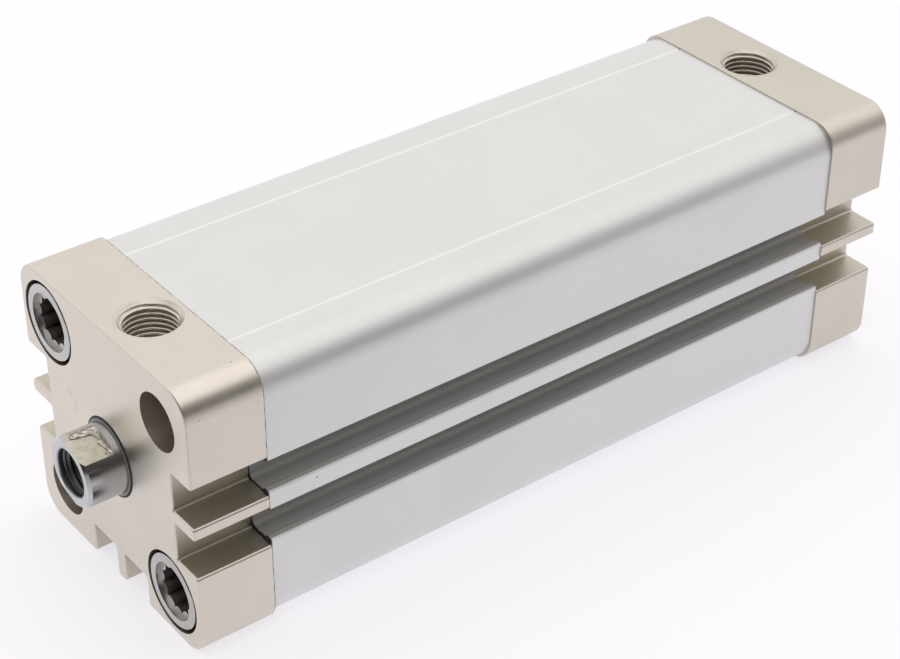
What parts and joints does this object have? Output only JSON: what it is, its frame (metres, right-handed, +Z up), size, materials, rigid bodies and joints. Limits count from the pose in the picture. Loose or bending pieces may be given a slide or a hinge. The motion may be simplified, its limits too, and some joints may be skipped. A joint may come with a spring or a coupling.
{
  "type": "compact pneumatic cylinder",
  "caption": "compact double-acting air cylinder with a square slotted barrel, screwed end caps, top air ports and a female-threaded rod with wrench flats",
  "frame": {"origin": "middle of the front mounting face, on the rod's axis", "axes": "+X out of the front along the rod, +Z up to the air ports, +Y the slotted side seen in the picture"},
  "size_m": [0.151, 0.049, 0.049],
  "materials": {
    "cap_metal": "satin, clear coated",
    "barrel_metal": "satin anodised",
    "screw_steel": "zinc plated",
    "rod_steel": "rolled and polished",
    "piston_metal": "turned",
    "seal_rubber": "matt",
    "wiper_rubber": "matt",
    "bushing_plastic": "plain",
    "ring_plastic": "plain",
    "magnet_plastic": "plain"
  },
  "bodies": {
    "cylinder_body": {"front_cap": "cap_metal", "rear_cap": "cap_metal", "barrel": "barrel_metal", "front_cap_o_ring": "seal_rubber", "rear_cap_o_ring": "seal_rubber", "front_tie_screws": "screw_steel", "rear_tie_screws": "screw_steel", "rod_bushing": "bushing_plastic", "rod_seal": "seal_rubber", "rod_wiper": "wiper_rubber", "front_bumper": "seal_rubber", "rear_bumper": "seal_rubber"},
    "seal_set": {"front_piston_seal": "seal_rubber", "rear_piston_seal": "seal_rubber", "wear_ring": "ring_plastic"},
    "piston_and_rod": {"piston_rod": "rod_steel", "piston_front": "piston_metal", "piston_rear": "piston_metal", "magnet_ring": "magnet_plastic", "piston_screw": "screw_steel", "piston_o_ring": "seal_rubber"}
  },
  "joints": [
    {"name": "rod_slide", "type": "slide", "parent": "cylinder_body", "child": "seal_set", "axis": [1, 0, 0], "range_m": [0, 0.1]},
    {"name": "rod_turn", "type": "hinge", "parent": "seal_set", "child": "piston_and_rod", "pos_m": [0, 0, 0], "axis": [1, 0, 0], "continuous": true}
  ]
}
